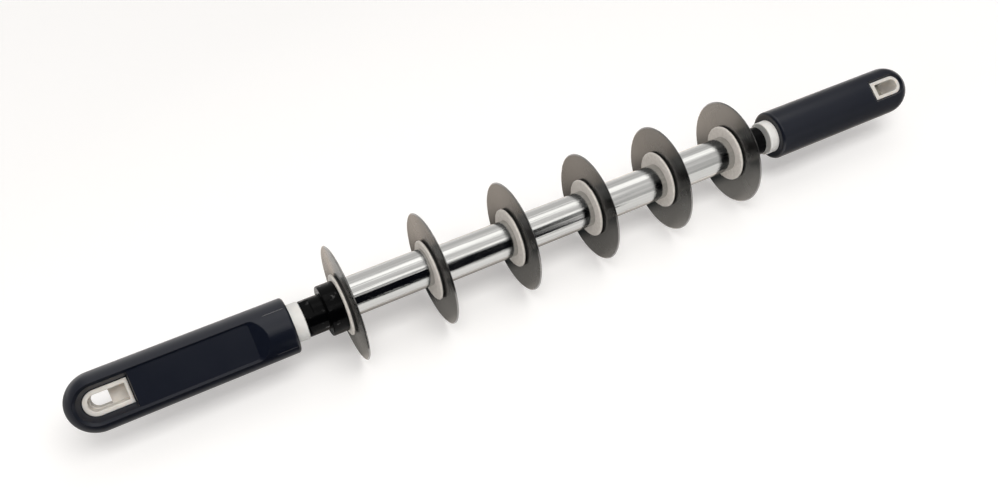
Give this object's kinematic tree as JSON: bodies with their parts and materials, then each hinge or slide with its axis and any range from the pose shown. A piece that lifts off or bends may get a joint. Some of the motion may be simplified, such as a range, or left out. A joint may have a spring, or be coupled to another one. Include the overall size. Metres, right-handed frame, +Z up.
{
  "type": "rolling pastry cutter",
  "caption": "Rolling dough cutter: round steel blades clamped on a rod between spacer tubes, turning between plastic handles with a sunk panel and a hanging eyelet.",
  "frame": {"origin": "on the floor below the middle of the overall length, where the blades' rims rest", "axes": "+X along the rod towards the right handle with the slim-necked nut, -Y towards the viewer of the picture, +Z up"},
  "size_m": [0.5326, 0.064, 0.064],
  "materials": {
    "blade_steel": "polished, fine circular grain",
    "tube_chrome": "bright chrome",
    "rod_steel": "turned",
    "fastener_steel": "plain",
    "hub_plastic": "moulded, satin",
    "nut_black": "glossy",
    "bush_white": "nylon, satin",
    "grip_dark": "soft matte",
    "eyelet_grey": "moulded, satin"
  },
  "bodies": {
    "roller": {"rod": "rod_steel", "blade_1": "blade_steel", "washer_1_left": "hub_plastic", "washer_1_right": "hub_plastic", "spacer_tube_1": "tube_chrome", "blade_2": "blade_steel", "washer_2_left": "hub_plastic", "washer_2_right": "hub_plastic", "spacer_tube_2": "tube_chrome", "blade_3": "blade_steel", "washer_3_left": "hub_plastic", "washer_3_right": "hub_plastic", "spacer_tube_3": "tube_chrome", "blade_4": "blade_steel", "washer_4_left": "hub_plastic", "washer_4_right": "hub_plastic", "spacer_tube_4": "tube_chrome", "blade_5": "blade_steel", "washer_5_left": "hub_plastic", "washer_5_right": "hub_plastic", "spacer_tube_5": "tube_chrome", "blade_6": "blade_steel", "washer_6_left": "hub_plastic", "washer_6_right": "hub_plastic", "left_clamp_nut": "nut_black", "right_end_nut": "nut_black", "left_retainer": "fastener_steel", "left_retainer_screw": "fastener_steel", "right_retainer": "fastener_steel", "right_retainer_screw": "fastener_steel"},
    "left_grip": {"left_handle": "grip_dark", "left_bush": "bush_white", "left_eyelet": "eyelet_grey"},
    "right_grip": {"right_handle": "grip_dark", "right_bush": "bush_white", "right_eyelet": "eyelet_grey"}
  },
  "joints": [
    {"name": "left_handle_spin", "type": "hinge", "parent": "roller", "child": "left_grip", "pos_m": [-0.205, 0, 0.032], "axis": [1, 0, 0], "continuous": true},
    {"name": "right_handle_spin", "type": "hinge", "parent": "roller", "child": "right_grip", "pos_m": [0.205, 0, 0.032], "axis": [1, 0, 0], "continuous": true}
  ]
}
